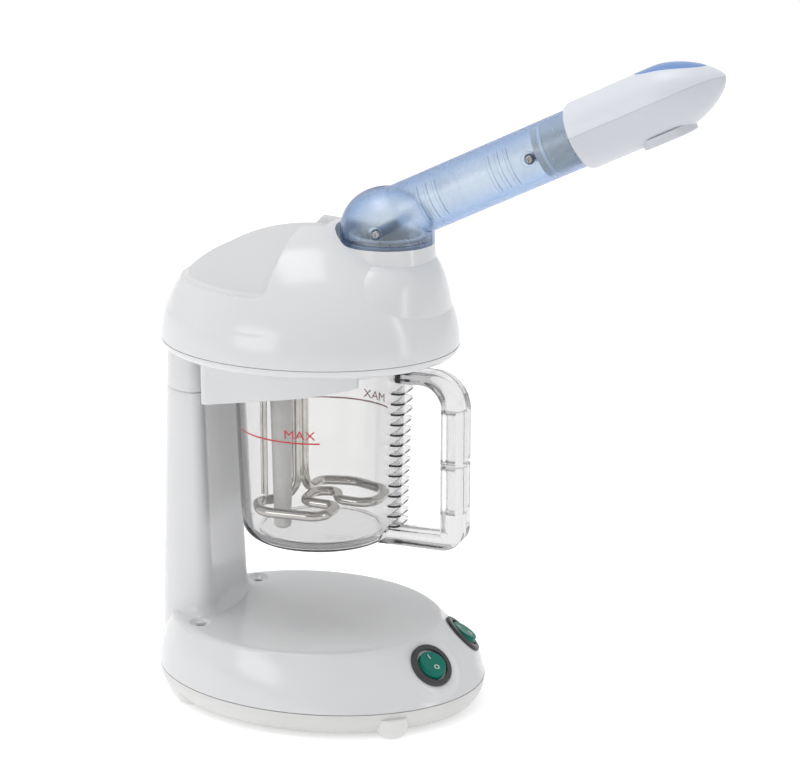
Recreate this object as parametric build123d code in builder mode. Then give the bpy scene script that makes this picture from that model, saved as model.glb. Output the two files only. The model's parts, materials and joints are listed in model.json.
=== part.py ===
"""Tabletop facial steamer: base with column, steam head, clear jar, swivel arm and nozzle.

Millimetres, +Z up, front towards -Y. The origin is on the surface that the feet stand on,
at the middle of the footprint of the whole steamer with its arm forward.
Heights are above that surface; plan sizes are given from the vertical axis of the jar.
"""

from build123d import *
import math
import os

os.makedirs("parts", exist_ok=True)

# ---------------------------------------------------------------- driving dimensions
AXIS_Y = 68.7            # jar axis behind the origin
WALL = 2.5               # moulded walls of base and head
GAP = 0.3                # between pieces that move past each other
JOINT_LINE = 0.2         # visible line between two mouldings

FOOT_R = 9.8
FOOT_SOLE_R = 5.5
FOOT_TOP = 12.0
FOOT_SPOTS = [(54.6, -67.6), (-54.6, -67.6), (50.0, 66.0), (-50.0, 66.0)]
TRAY_RINGS = [(2.4, 0.7, 76.0, 98.5), (8.0, 0.7, 80.6, 102.8), (16.0, 0.7, 82.5, 104.7)]
TRAY_HOLLOW = [(5.0, 0.7, 75.0, 97.4), (9.5, 0.7, 78.2, 100.4), (17.0, 0.7, 79.9, 102.1)]
SHELL_RINGS = [(16.2, 0.7, 82.5, 104.7), (36.0, 6.0, 78.3, 95.1), (50.0, 10.0, 72.0, 85.0)]
BASE_TOP = 50.0
DISH_DEPTH = 2.0

COLUMN_Y = 72.3          # centre of the column's round back
COLUMN_TOP = 191.6
COLUMN_FOOT_R = 33.3
COLUMN_TOP_R = 27.8
COLUMN_FOOT_FRONT = 62.5
COLUMN_TOP_FRONT = 67.5

SWITCH_SPOT = (27.9, -82.9, 36.3)
SWITCH_TILT = 45.4       # panel normal from the vertical
SWITCH_SPLAY = 25.5      # panel normal turned outwards
BEZEL_R = 14.0
BEZEL_T = 2.0
BARREL_R = 11.5
ROCKER_R = 9.7
ROCKER_LEAN = 12.0       # rest position, switched on
PIVOT_H = 0.5            # rocker pivot above the panel

HEAD_Y = 6.2             # head's centre behind the jar axis
HEAD_RX = 77.2
HEAD_RY = 92.6
HEAD_SEAM = 226.4
HEAD_RISE = 74.6
HEAD_UNDER = 221.2       # underside of the head's rim
COLLAR_HALF = 56.5       # half width of the collar around the jar's top
COLLAR_FRONT = -40.0     # the collar is open in front of this
COLLAR_BACK = 56.0
COLLAR_WALL = 2.6
COLLAR_CORNER = 8.0
SEAL_SEAT = 216.2        # face that the jar's seal presses on

JAR_BOTTOM = 103.5
JAR_RIM = 213.0
JAR_WALL = 2.2
JAR_PROFILE = [(48.3, 113.0), (49.4, 124.0), (51.0, 170.0), (52.2, JAR_RIM)]
FIN_COUNT = 14
FIN_FIRST = 115.5
FIN_PITCH = 6.45
FIN_WIDTH = 22.0
FIN_THICK = 1.3
HANDLE_HALF = 9.0
HANDLE_EASE = 3.4          # long edges of the handle
HANDLE_FRONT = -95.3
HANDLE_INSIDE = -80.4
HANDLE_RIBS = [124.2, 155.6, 190.6]
HANDLE_POCKET = (11.0, 9.5)

NECK_Y = -44.3
NECK_TOP = 289.6
SPIGOT_R = 22.5
SPIGOT_TOP = 294.8
FLANGE_LOW = 290.4
FLANGE_HIGH = 292.0
CLIP_LOW = 292.3
CLIP_HIGH = 293.7
ELBOW_R = 28.1
ELBOW_FOOT = 290.0
ELBOW_SPRING = 298.0
ELBOW_RISE = 25.2
ARM_TILT = 25.8
ARM_AXIS_Z = 303.75      # height where the tube's axis meets the neck's axis
TUBE_R = 17.4
TUBE_WALL = 2.0
TUBE_END = 129.6         # along the tube's axis, from the neck's axis
RIB_SPOTS = [30.4, 36.4, 42.4, 78.6, 84.6, 90.6]

NOZZLE_TAIL = 130.2
NOZZLE_TIP = 221.4
NOZZLE_R = 20.2
NOZZLE_WALL = 2.0
OUTLET_MID = 180.0

HEATER_Z = 126.0
HEATER_R = 3.0
LEG_X = 5.5
LEG_Y = 13.3


# ---------------------------------------------------------------- placing helpers
def level(height, y=0.0, x=0.0):
    """Horizontal plane at a height, centred on the jar axis or beside it."""
    return Plane(origin=(x, AXIS_Y + y, height))


def side_plane(y=0.0, x=0.0):
    """Upright plane across the steamer: local x is X, local y is height."""
    return Plane(origin=(x, AXIS_Y + y, 0), x_dir=(1, 0, 0), z_dir=(0, -1, 0))


def long_plane(x=0.0):
    """Upright plane along the steamer: local x is Y from the jar axis, local y is height."""
    return Plane(origin=(x, AXIS_Y, 0), x_dir=(0, 1, 0), z_dir=(1, 0, 0))


def upright(y=0.0, x=0.0):
    """Vertical axis at a place in the plan."""
    return Axis((x, AXIS_Y + y, 0), (0, 0, 1))


TILT_COS = math.cos(math.radians(ARM_TILT))
TILT_SIN = math.sin(math.radians(ARM_TILT))


def arm_point(along, x=0.0, above=0.0):
    """Point at a distance along the tube's axis, and above or beside it."""
    y = AXIS_Y + NECK_Y - along * TILT_COS + above * TILT_SIN
    return (x, y, ARM_AXIS_Z + along * TILT_SIN + above * TILT_COS)


def arm_section(along):
    """Plane square to the tube: local y points up from the tube."""
    return Plane(origin=arm_point(along), x_dir=(1, 0, 0), z_dir=(0, -TILT_COS, TILT_SIN))


def arm_long_plane():
    """Upright plane through the tube's axis: local x runs along it, local y above it."""
    return Plane(origin=arm_point(0), x_dir=(0, -TILT_COS, TILT_SIN), z_dir=(-1, 0, 0))


ARM_LINE = Axis(arm_point(0), (0, -TILT_COS, TILT_SIN))


def switch_plane(side, lift=0.0):
    """Plane of one switch's panel: local y runs up the slope, local z out of it."""
    tilt = math.radians(SWITCH_TILT)
    splay = math.radians(SWITCH_SPLAY)
    normal = Vector(side * math.sin(tilt) * math.sin(splay),
                    -math.sin(tilt) * math.cos(splay), math.cos(tilt))
    across = Vector(math.cos(splay), side * math.sin(splay), 0)
    spot = Vector(side * SWITCH_SPOT[0], AXIS_Y + SWITCH_SPOT[1], SWITCH_SPOT[2])
    return Plane(origin=spot + normal * lift, x_dir=across, z_dir=normal)


def keep(piece, name):
    """Label a finished piece and write its STEP file."""
    piece.label = name
    export_step(piece, f"parts/{name}.step")


def ring(outer, inner, low, high, y=0.0, x=0.0):
    """Flat ring round a vertical axis."""
    with BuildPart() as body:
        with BuildSketch(level(low, y, x)):
            Circle(outer)
            Circle(inner, mode=Mode.SUBTRACT)
        extrude(amount=high - low)
    return body.part


def screw(plane, head_r, head_h, shank_r, length, slot=1.0):
    """Pan-head cross-recess screw; its head stands on the plane and its shank goes down."""
    with BuildPart() as body:
        with BuildSketch(plane):
            Circle(head_r)
        extrude(amount=head_h)
        top_edges = body.edges().filter_by(GeomType.CIRCLE).sort_by(Axis(plane.origin, plane.z_dir))
        fillet(top_edges[-1], head_h * 0.45)
        with BuildSketch(plane):
            Circle(shank_r)
        extrude(amount=-length)
        with BuildSketch(plane.offset(head_h)):
            Rectangle(head_r * 1.1, head_r * 0.26)
            Rectangle(head_r * 0.26, head_r * 1.1)
        extrude(amount=-min(slot, head_h * 0.6), mode=Mode.SUBTRACT)
    return body.part


def ellipse_stack(rings, inset=0.0):
    """Solid lofted through level ellipses, each (height, y, half width, half length)."""
    with BuildPart() as body:
        for height, y, half_x, half_y in rings:
            with BuildSketch(level(height, y)):
                Ellipse(half_x - inset, half_y - inset)
        loft()
    return body.part


def column_loft(low, high, inset=0.0):
    """Column body between two heights: a round back and a flat front with soft corners."""
    foot = BASE_TOP
    with BuildPart() as body:
        for height in (low, high):
            share = (height - foot) / (COLUMN_TOP - foot)
            radius = COLUMN_FOOT_R + share * (COLUMN_TOP_R - COLUMN_FOOT_R) - inset
            front = COLUMN_FOOT_FRONT + share * (COLUMN_TOP_FRONT - COLUMN_FOOT_FRONT) + inset
            drop = front - COLUMN_Y
            reach = math.sqrt(radius ** 2 - drop ** 2)
            with BuildSketch(level(height)) as outline:
                with BuildLine():
                    ThreePointArc((reach, front), (0, COLUMN_Y + radius), (-reach, front))
                    Line((-reach, front), (reach, front))
                make_face()
                fillet(outline.vertices(), 8.0 - inset)
        loft(ruled=True)
    return body.part


# ---------------------------------------------------------------- base
tray_form = ellipse_stack(TRAY_RINGS)
BOSS_SPOTS = [(48.0, -36.0), (-48.0, -36.0), (51.0, 42.0), (-51.0, 42.0)]
BOARD_SPOTS = [(-26.0, -42.0), (26.0, -42.0), (-26.0, -6.0), (26.0, -6.0)]

with BuildPart() as base_tray:
    add(tray_form)
    add(ellipse_stack(TRAY_HOLLOW), mode=Mode.SUBTRACT)
    for spot_x, spot_y in BOSS_SPOTS:
        with BuildSketch(level(4.0, spot_y, spot_x)):
            Circle(5.0)
        extrude(amount=12.0)
        with BuildSketch(level(0.0, spot_y, spot_x)):
            Circle(1.9)
        extrude(amount=17.0, mode=Mode.SUBTRACT)
        with BuildSketch(level(0.0, spot_y, spot_x)):
            Circle(3.6)
        extrude(amount=7.5, mode=Mode.SUBTRACT)
    for spot_x, spot_y in BOARD_SPOTS:
        with BuildSketch(level(4.0, spot_y, spot_x)):
            Circle(3.5)
        extrude(amount=7.0)
        with BuildSketch(level(7.0, spot_y, spot_x)):
            Circle(1.3)
        extrude(amount=5.0, mode=Mode.SUBTRACT)
    for row in range(5):
        with BuildSketch(level(0.0, 38.0 + 7.0 * row, 24.0)):
            SlotOverall(24.0, 3.0)
        extrude(amount=8.0, mode=Mode.SUBTRACT)
keep(base_tray.part, "base_tray")

with BuildPart() as feet:
    for spot_x, spot_y in FOOT_SPOTS:
        with BuildSketch(side_plane(spot_y, spot_x)):
            with BuildLine():
                Polyline((0, FOOT_TOP), (0, 0), (FOOT_SOLE_R, 0))
                ThreePointArc((FOOT_SOLE_R, 0), (FOOT_R - 1.3, 1.3), (FOOT_R, 4.0))
                Polyline((FOOT_R, 4.0), (FOOT_R, FOOT_TOP), (0, FOOT_TOP))
            make_face()
        revolve(axis=upright(spot_y, spot_x))
    add(tray_form, mode=Mode.SUBTRACT)
keep(feet.part, "feet")

with BuildPart() as base_screws:
    for spot_x, spot_y in BOSS_SPOTS:
        plane = Plane(origin=(spot_x, AXIS_Y + spot_y, 7.4), x_dir=(1, 0, 0), z_dir=(0, 0, -1))
        add(screw(plane, 3.2, 2.0, 1.6, 22.0))
keep(base_screws.part, "base_screws")

FOOT_SCREW_SPOTS = [(43.0, 63.0), (-43.0, 63.0)]
FOOT_SCREW_SEAT = 42.6
GLAND_Z = 22.2
GLAND_R = 4.4
INNER_RINGS = [(15.0, 0.7, 80.0, 102.2), (36.0, 6.0, 75.6, 92.4), (45.0, 9.0, 71.0, 83.6)]

with BuildPart() as base_shell:
    add(ellipse_stack(SHELL_RINGS))
    rim = base_shell.edges().group_by(Axis.Z)[-1]
    fillet(rim, 5.0)
    add(ellipse_stack([(BASE_TOP - DISH_DEPTH, 8.0, 58.0, 70.0), (BASE_TOP + 1.0, 8.0, 63.0, 75.0)]),
        mode=Mode.SUBTRACT)
    add(column_loft(28.5, COLUMN_TOP))
    for side in (-1, 1):
        with BuildSketch(switch_plane(side)):
            Circle(BEZEL_R + 2.5)
        extrude(amount=-9.0)
        with BuildSketch(switch_plane(side)):
            Circle(BEZEL_R + 0.5)
        extrude(amount=6.0, mode=Mode.SUBTRACT)
    add(ellipse_stack(INNER_RINGS), mode=Mode.SUBTRACT)
    add(column_loft(20.0, COLUMN_TOP + 1.0, WALL), mode=Mode.SUBTRACT)
    for side in (-1, 1):
        with BuildSketch(switch_plane(side, 6.0)):
            Circle(BARREL_R + GAP)
        extrude(amount=-26.0, mode=Mode.SUBTRACT)
    for spot_x, spot_y in BOSS_SPOTS:
        with BuildSketch(level(16.4, spot_y, spot_x)):
            Circle(4.6)
        extrude(amount=29.6)
        with BuildSketch(level(16.0, spot_y, spot_x)):
            Circle(1.7)
        extrude(amount=17.0, mode=Mode.SUBTRACT)
    for spot_x, spot_y in FOOT_SCREW_SPOTS:
        with BuildSketch(level(30.0, spot_y, spot_x)):
            Circle(5.6)
        extrude(amount=17.5)
        with BuildSketch(level(FOOT_SCREW_SEAT, spot_y, spot_x)):
            Circle(3.9)
        extrude(amount=10.0, mode=Mode.SUBTRACT)
        with BuildSketch(level(29.0, spot_y, spot_x)):
            Circle(1.7)
        extrude(amount=19.0, mode=Mode.SUBTRACT)
    with BuildSketch(Plane(origin=(0, AXIS_Y + 90.0, GLAND_Z), x_dir=(1, 0, 0), z_dir=(0, 1, 0))):
        Circle(GLAND_R + 0.1)
    extrude(amount=20.0, mode=Mode.SUBTRACT)
keep(base_shell.part, "base_shell")

with BuildPart() as foot_screws:
    for spot_x, spot_y in FOOT_SCREW_SPOTS:
        add(screw(level(FOOT_SCREW_SEAT + 0.1, spot_y, spot_x), 3.2, 2.0, 1.6, 9.0))
keep(foot_screws.part, "foot_screws")

# The cord's bushing: a flanged ring in the back of the base, with a hole for a round cord.
BACK_Y = AXIS_Y + 105.5
with BuildPart() as cord_gland:
    with BuildSketch(Plane(origin=(0, BACK_Y, GLAND_Z), x_dir=(1, 0, 0), z_dir=(0, 1, 0))):
        Circle(5.8)
    extrude(amount=2.0)
    fillet(cord_gland.edges().sort_by(Axis.Y)[-1], 0.9)
    with BuildSketch(Plane(origin=(0, BACK_Y, GLAND_Z), x_dir=(1, 0, 0), z_dir=(0, 1, 0))):
        Circle(GLAND_R)
    extrude(amount=-9.0)
    with BuildSketch(Plane(origin=(0, BACK_Y + 3.0, GLAND_Z), x_dir=(1, 0, 0), z_dir=(0, 1, 0))):
        Circle(3.1)
    extrude(amount=-14.0, mode=Mode.SUBTRACT)
keep(cord_gland.part, "cord_gland")

# ---------------------------------------------------------------- switches
for side, name in ((-1, "left"), (1, "right")):
    face = switch_plane(side)
    pivot = switch_plane(side, PIVOT_H)
    lean = pivot.rotated((-ROCKER_LEAN, 0, 0))
    cross = Plane(origin=pivot.origin, x_dir=pivot.y_dir, z_dir=pivot.x_dir)

    with BuildPart() as housing:
        with BuildSketch(face):
            Circle(BEZEL_R)
        extrude(amount=BEZEL_T)
        outer_edges = housing.edges().filter_by(GeomType.CIRCLE)
        fillet(outer_edges.sort_by(Axis(face.origin, face.z_dir))[-1], 1.2)
        with BuildSketch(face):
            Circle(BARREL_R)
        extrude(amount=-15.0)
        with BuildSketch(face.offset(BEZEL_T + 1.0)):
            Circle(ROCKER_R + 0.75)
        extrude(amount=-(BEZEL_T + 1.0 + 8.0), mode=Mode.SUBTRACT)
        with BuildSketch(cross.offset(-11.0)):
            Circle(1.2)
        extrude(amount=22.0, mode=Mode.SUBTRACT)
    keep(housing.part, f"switch_housing_{name}")

    with BuildPart() as swing:
        with BuildSketch(cross.offset(-12.0)):
            Circle(ROCKER_R + 0.2)
        extrude(amount=24.0)

    with BuildPart() as rocker:
        with BuildSketch(lean.offset(-4.0)):
            Circle(ROCKER_R)
        extrude(amount=7.4)
        add(swing.part, mode=Mode.INTERSECT)
        with BuildSketch(cross.offset(-10.8)):
            Circle(1.0)
        extrude(amount=21.6)
    keep(rocker.part, f"rocker_{name}")

    with BuildPart() as blades:
        for offset_y in (-6.0, 0.0, 6.0):
            with BuildSketch(face.offset(-15.0)):
                with Locations((0, offset_y)):
                    Rectangle(4.8, 0.8)
            extrude(amount=-7.0)
    keep(blades.part, f"switch_terminals_{name}")

# ---------------------------------------------------------------- electrics in the base
BOARD_Z = 11.1
with BuildPart() as ozone_board:
    with BuildSketch(level(BOARD_Z, -24.0)):
        RectangleRounded(62.0, 46.0, 2.0)
    extrude(amount=1.6)
    with Locations(*[(x, AXIS_Y + y, BOARD_Z + 1.6) for x, y in BOARD_SPOTS]):
        Hole(1.5)
keep(ozone_board.part, "ozone_board")

with BuildPart() as board_screws:
    for spot_x, spot_y in BOARD_SPOTS:
        add(screw(level(BOARD_Z + 1.7, spot_y, spot_x), 2.6, 1.6, 1.2, 4.5))
keep(board_screws.part, "board_screws")

BOARD_TOP = BOARD_Z + 1.6
with BuildPart() as transformer:
    with BuildSketch(level(BOARD_TOP, -24.0, -8.0)):
        Rectangle(22.0, 18.0)
    extrude(amount=14.0)
    chamfer(transformer.edges().filter_by(Axis.Z), 1.5)
    with BuildSketch(level(BOARD_TOP + 3.0, -24.0, -8.0)):
        Rectangle(27.0, 13.0)
    extrude(amount=8.0)
keep(transformer.part, "transformer")

with BuildPart() as capacitor:
    with BuildSketch(level(BOARD_TOP, -26.0, 18.0)):
        Circle(5.0)
    extrude(amount=13.0)
    fillet(capacitor.edges().group_by(Axis.Z)[-1], 0.8)
keep(capacitor.part, "capacitor")

with BuildPart() as terminal_block:
    with BuildSketch(level(6.6, 32.0, -28.0)):
        Rectangle(34.0, 14.0)
    extrude(amount=12.0)
    with BuildSketch(level(18.6, 32.0, -28.0)):
        with GridLocations(10.0, 7.0, 3, 2):
            Circle(2.0)
    extrude(amount=-5.0, mode=Mode.SUBTRACT)
keep(terminal_block.part, "terminal_block")

with BuildPart() as wiring_loom:
    with BuildLine() as loom_route:
        FilletPolyline((-8.0, AXIS_Y + 40.0, 24.0), (0.0, AXIS_Y + 82.0, 24.0),
                       (0.0, AXIS_Y + 82.0, 240.0), (0.0, AXIS_Y + 60.0, 252.0), radius=9.0)
    with BuildSketch(Plane(origin=loom_route.line @ 0, z_dir=loom_route.line % 0)):
        Circle(2.6)
    sweep()
keep(wiring_loom.part, "wiring_loom")

# ---------------------------------------------------------------- head, lower shell
UNDER_RINGS = [(HEAD_UNDER, 5.8, 73.6, 88.6), (223.2, 6.1, 76.2, 91.5), (HEAD_SEAM, 6.2, 77.2, 92.6)]
PLATE_R = 47.0           # heater plate
STUB_TOP = 223.0
with BuildPart() as head_lower_shell:
    add(ellipse_stack(UNDER_RINGS))
    with BuildSketch(level(HEAD_UNDER + WALL, HEAD_Y)):
        Ellipse(HEAD_RX - 5.5, HEAD_RY - 5.5)
    extrude(amount=10.0, mode=Mode.SUBTRACT)
    # Collar: straight sides, a round front, cut off by a slope that rises to the front.
    with BuildSketch(level(180.0)) as collar_plan:
        Circle(COLLAR_HALF)
        with Locations((0, COLLAR_BACK / 2)):
            Rectangle(2 * COLLAR_HALF, COLLAR_BACK)
        fillet(collar_plan.vertices().group_by(Axis.Y)[-1], COLLAR_CORNER)
        with Locations((0, COLLAR_FRONT - 30.0)):
            Rectangle(140.0, 60.0, mode=Mode.SUBTRACT)
    extrude(amount=HEAD_UNDER + 1.0 - 180.0)
    with BuildSketch(level(179.0)) as collar_hollow:
        Circle(COLLAR_HALF - COLLAR_WALL)
        with Locations((0, (COLLAR_BACK - COLLAR_WALL) / 2)):
            Rectangle(2 * (COLLAR_HALF - COLLAR_WALL), COLLAR_BACK - COLLAR_WALL)
        fillet(collar_hollow.vertices().group_by(Axis.Y)[-1], COLLAR_CORNER - COLLAR_WALL)
    extrude(amount=HEAD_UNDER - 179.0, mode=Mode.SUBTRACT)
    with BuildSketch(long_plane()):
        Polygon((-80.0, 170.0), (80.0, 170.0), (80.0, 192.2), (COLLAR_BACK, 193.6), (COLLAR_FRONT, 209.1),
                (-80.0, 215.5), align=None)
    extrude(amount=90.0, both=True, mode=Mode.SUBTRACT)
    # Ring that the jar's seal presses on.
    with BuildSketch(level(SEAL_SEAT)):
        Circle(COLLAR_HALF - COLLAR_WALL + 0.5)
        Circle(44.0, mode=Mode.SUBTRACT)
    extrude(amount=HEAD_UNDER + 1.0 - SEAL_SEAT)
    with BuildSketch(level(HEAD_UNDER - 1.0)):
        Circle(44.0)
    extrude(amount=6.0, mode=Mode.SUBTRACT)
    with BuildSketch(level(HEAD_UNDER + 1.0)):
        Circle(PLATE_R + 0.3)
    extrude(amount=6.0, mode=Mode.SUBTRACT)
    # Stub that stands on the column.
    add(column_loft(COLUMN_TOP + JOINT_LINE, STUB_TOP))
    add(column_loft(COLUMN_TOP, HEAD_SEAM + 2.0, WALL), mode=Mode.SUBTRACT)
    for spot_x, spot_y in ((62.0, 6.0), (-62.0, 6.0), (24.0, -66.0), (-24.0, -66.0)):
        with BuildSketch(level(HEAD_UNDER + 1.0, spot_y, spot_x)):
            Circle(4.2)
        extrude(amount=6.0)
        with BuildSketch(level(HEAD_UNDER - 1.0, spot_y, spot_x)):
            Circle(1.8)
        extrude(amount=12.0, mode=Mode.SUBTRACT)
keep(head_lower_shell.part, "head_lower_shell")

# ---------------------------------------------------------------- head, dome
DOME_WALL = 4.4
RECESS_DEPTH = 2.2
RECESS_LOW = 264.5       # lower edge of the recess over the rear of the dome
RECESS_FRONT = 5.0


def dome_form(inset):
    """Half ellipsoid on the head's seam, drawn in all over."""
    radius = HEAD_RY - inset
    with BuildPart() as body:
        with BuildSketch(side_plane(HEAD_Y)):
            with BuildLine():
                EllipticalCenterArc((0, HEAD_SEAM), radius, HEAD_RISE - inset, arc_size=90)
                Polyline((0, HEAD_SEAM + HEAD_RISE - inset), (0, HEAD_SEAM), (radius, HEAD_SEAM))
            make_face()
        revolve(axis=upright(HEAD_Y))
        scale(by=((HEAD_RX - inset) / radius, 1, 1))
    return body.part


# The hollow stays clear of the pocket under the elbow.
with BuildPart() as dome_hollow:
    add(dome_form(DOME_WALL))
    with BuildSketch(level(NECK_TOP - 3.0, NECK_Y)):
        Circle(ELBOW_R + 9.0)
    extrude(amount=30.0, mode=Mode.SUBTRACT)

with BuildPart() as dome_recess:
    with BuildSketch(level(RECESS_LOW, RECESS_FRONT + 60.0)):
        Rectangle(160.0, 120.0)
    extrude(amount=60.0)
    add(dome_form(RECESS_DEPTH), mode=Mode.SUBTRACT)

with BuildPart() as head_dome:
    add(dome_form(0.0))
    add(dome_recess.part, mode=Mode.SUBTRACT)
    with BuildSketch(level(HEAD_SEAM - 5.0)):
        Rectangle(400.0, 400.0)
    extrude(amount=5.0 + JOINT_LINE, mode=Mode.SUBTRACT)
    # Neck that carries the elbow.
    with BuildSketch(side_plane(NECK_Y)):
        Polygon((0, 262.0), (30.6, 262.0), (29.4, 272.5), (28.3, 281.0), (28.0, NECK_TOP), (0, NECK_TOP),
                align=None)
    revolve(axis=upright(NECK_Y))
    # Pocket behind the elbow, opening upwards so that the arm can turn over it.
    with BuildSketch(side_plane(NECK_Y)):
        Polygon((0, NECK_TOP), (ELBOW_R + 2.4, NECK_TOP), (ELBOW_R + 3.0, 294.0), (ELBOW_R + 14.0, 303.0),
                (0, 303.0), align=None)
    revolve(axis=upright(NECK_Y), mode=Mode.SUBTRACT)
    add(dome_hollow.part, mode=Mode.SUBTRACT)
    with BuildSketch(level(NECK_TOP - 3.5, NECK_Y)):
        Circle(SPIGOT_R)
    extrude(amount=SPIGOT_TOP - NECK_TOP + 3.5)
    with BuildSketch(level(250.0, NECK_Y)):
        Circle(SPIGOT_R - 2.5)
    extrude(amount=60.0, mode=Mode.SUBTRACT)
    # Groove for the clip that keeps the elbow on the spigot.
    add(ring(SPIGOT_R + 1.0, SPIGOT_R - 1.2, CLIP_LOW, CLIP_HIGH, NECK_Y), mode=Mode.SUBTRACT)
keep(head_dome.part, "head_dome")

# ---------------------------------------------------------------- jar
# Handle: a flat bar that leaves the jar below the rim, turns down and comes back at the floor.
with BuildPart() as handle:
    with BuildSketch(long_plane()) as bar:
        with BuildLine():
            Polyline((-40.0, JAR_RIM), (HANDLE_FRONT, JAR_RIM), (HANDLE_FRONT, 102.6), (-40.0, 102.6),
                     (-40.0, 112.4), (HANDLE_INSIDE, 112.4), (HANDLE_INSIDE, 205.0), (-40.0, 205.0),
                     (-40.0, JAR_RIM))
        make_face()
        fillet(bar.vertices().group_by(Axis.X)[0].sort_by(Axis.Y)[-1], 22.0)
        fillet(bar.vertices().group_by(Axis.X)[0].sort_by(Axis.Y)[0], 14.0)
        inside = [corner for corner in bar.vertices() if abs(corner.X - HANDLE_INSIDE) < 0.01]
        fillet([corner for corner in inside if corner.Y > 150.0], 13.0)
        fillet([corner for corner in inside if corner.Y < 150.0], 6.0)
    extrude(amount=HANDLE_HALF, both=True)
    long_edges = [edge for edge in handle.edges()
                  if abs(abs(edge.center().X) - HANDLE_HALF) < 0.01 and edge.center().Y < AXIS_Y - 41.0]
    fillet(long_edges, HANDLE_EASE)
    # Pockets from the finger side, between the cross ribs.
    for rib_low, rib_high in zip(HANDLE_RIBS, HANDLE_RIBS[1:]):
        with BuildSketch(Plane(origin=(0, AXIS_Y + HANDLE_INSIDE + 0.5, (rib_low + rib_high) / 2.0),
                               x_dir=(1, 0, 0), z_dir=(0, -1, 0))):
            RectangleRounded(HANDLE_POCKET[0], rib_high - rib_low - 2.2, 2.0)
        extrude(amount=HANDLE_POCKET[1] + 0.5, mode=Mode.SUBTRACT)

with BuildPart() as jar:
    with BuildSketch(side_plane()):
        with BuildLine():
            Line((0, JAR_BOTTOM), (38.8, JAR_BOTTOM))
            ThreePointArc((38.8, JAR_BOTTOM), (45.6, 106.3), JAR_PROFILE[0])
            Polyline(*JAR_PROFILE)
            Polyline(JAR_PROFILE[-1], (0, JAR_RIM), (0, JAR_BOTTOM))
        make_face()
    revolve(axis=upright())
    add(handle.part)
    for number in range(FIN_COUNT):
        height = FIN_FIRST + number * FIN_PITCH
        reach = 55.0 + 3.3 * number / FIN_COUNT
        with BuildSketch(level(height - FIN_THICK / 2.0)) as fin:
            with Locations((0, -reach + 9.0)):
                Rectangle(FIN_WIDTH, 18.0)
            fillet(fin.vertices().group_by(Axis.Y)[0], 4.5)
        extrude(amount=FIN_THICK)
    # Hollow.
    with BuildSketch(side_plane()):
        with BuildLine():
            Line((0, JAR_BOTTOM + 3.0), (38.0, JAR_BOTTOM + 3.0))
            ThreePointArc((38.0, JAR_BOTTOM + 3.0), (43.8, 108.6), (46.1, 113.6))
            Polyline((46.1, 113.6), *[(r - JAR_WALL, z) for r, z in JAR_PROFILE[1:]])
            Polyline((JAR_PROFILE[-1][0] - JAR_WALL, JAR_RIM), (JAR_PROFILE[-1][0] - JAR_WALL, JAR_RIM + 2.0),
                     (0, JAR_RIM + 2.0), (0, JAR_BOTTOM + 3.0))
        make_face()
    revolve(axis=upright(), mode=Mode.SUBTRACT)
    add(ring(37.9, 36.5, JAR_BOTTOM + 2.5, JAR_BOTTOM + 4.4))
keep(jar.part, "jar")

keep(ring(53.0, 48.6, JAR_RIM + 0.05, SEAL_SEAT - 0.05), "jar_seal")

# ---------------------------------------------------------------- heater and what stands beside it
SLEEVE_X = -24.0
SLEEVE_Y = 15.0
ROD_SPOTS = [(-27.4, 26.5), (-30.8, 22.5)]
PLATE_SCREW_SPOTS = [(39.0, 14.2), (-39.0, 14.2), (31.8, -26.7), (-31.8, -26.7)]
with BuildPart() as heater_plate:
    with BuildSketch(level(HEAD_UNDER + 1.1)):
        Circle(PLATE_R)
        with Locations((-LEG_X, LEG_Y), (LEG_X, LEG_Y)):
            Circle(HEATER_R + 0.3, mode=Mode.SUBTRACT)
        with Locations((0, -28.0)):
            Circle(10.0, mode=Mode.SUBTRACT)
        with Locations((SLEEVE_X, SLEEVE_Y)):
            Circle(7.8, mode=Mode.SUBTRACT)
        with Locations(*ROD_SPOTS):
            Circle(1.3, mode=Mode.SUBTRACT)
        with Locations(*PLATE_SCREW_SPOTS):
            Circle(1.8, mode=Mode.SUBTRACT)
    extrude(amount=1.6)
keep(heater_plate.part, "heater_plate")

ROUTE = [(-LEG_X, LEG_Y, 233.0), (-LEG_X, LEG_Y, HEATER_Z), (-22.0, 33.0, HEATER_Z), (-40.0, 22.0, HEATER_Z),
         (-38.0, -16.0, HEATER_Z), (-14.0, -18.0, HEATER_Z), (-13.0, 7.0, HEATER_Z), (8.0, 7.5, HEATER_Z),
         (14.0, -6.0, HEATER_Z), (-2.0, -12.0, HEATER_Z), (-3.0, -35.0, HEATER_Z), (25.0, -36.0, HEATER_Z),
         (36.0, -8.0, HEATER_Z), (31.0, LEG_Y, HEATER_Z), (LEG_X, LEG_Y, HEATER_Z), (LEG_X, LEG_Y, 233.0)]
BENDS = [14.0, 8.0, 12.0, 10.0, 8.0, 8.0, 8.0, 7.0, 8.0, 11.0, 13.0, 18.0, 9.0, 14.0]
with BuildPart() as heater:
    with BuildLine() as heater_route:
        FilletPolyline(*[(x, AXIS_Y + y, z) for x, y, z in ROUTE], radius=BENDS)
    with BuildSketch(Plane(origin=heater_route.line @ 0, z_dir=heater_route.line % 0)):
        Circle(HEATER_R)
    sweep()
keep(heater.part, "heater")

PLATE_TOP = HEAD_UNDER + 2.7
with BuildPart() as heater_nuts:
    for side in (-1, 1):
        with BuildSketch(level(PLATE_TOP, LEG_Y, side * LEG_X)):
            RegularPolygon(5.2, 6, rotation=30.0)
            Circle(HEATER_R + 0.05, mode=Mode.SUBTRACT)
        extrude(amount=4.5)
keep(heater_nuts.part, "heater_nuts")

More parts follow.
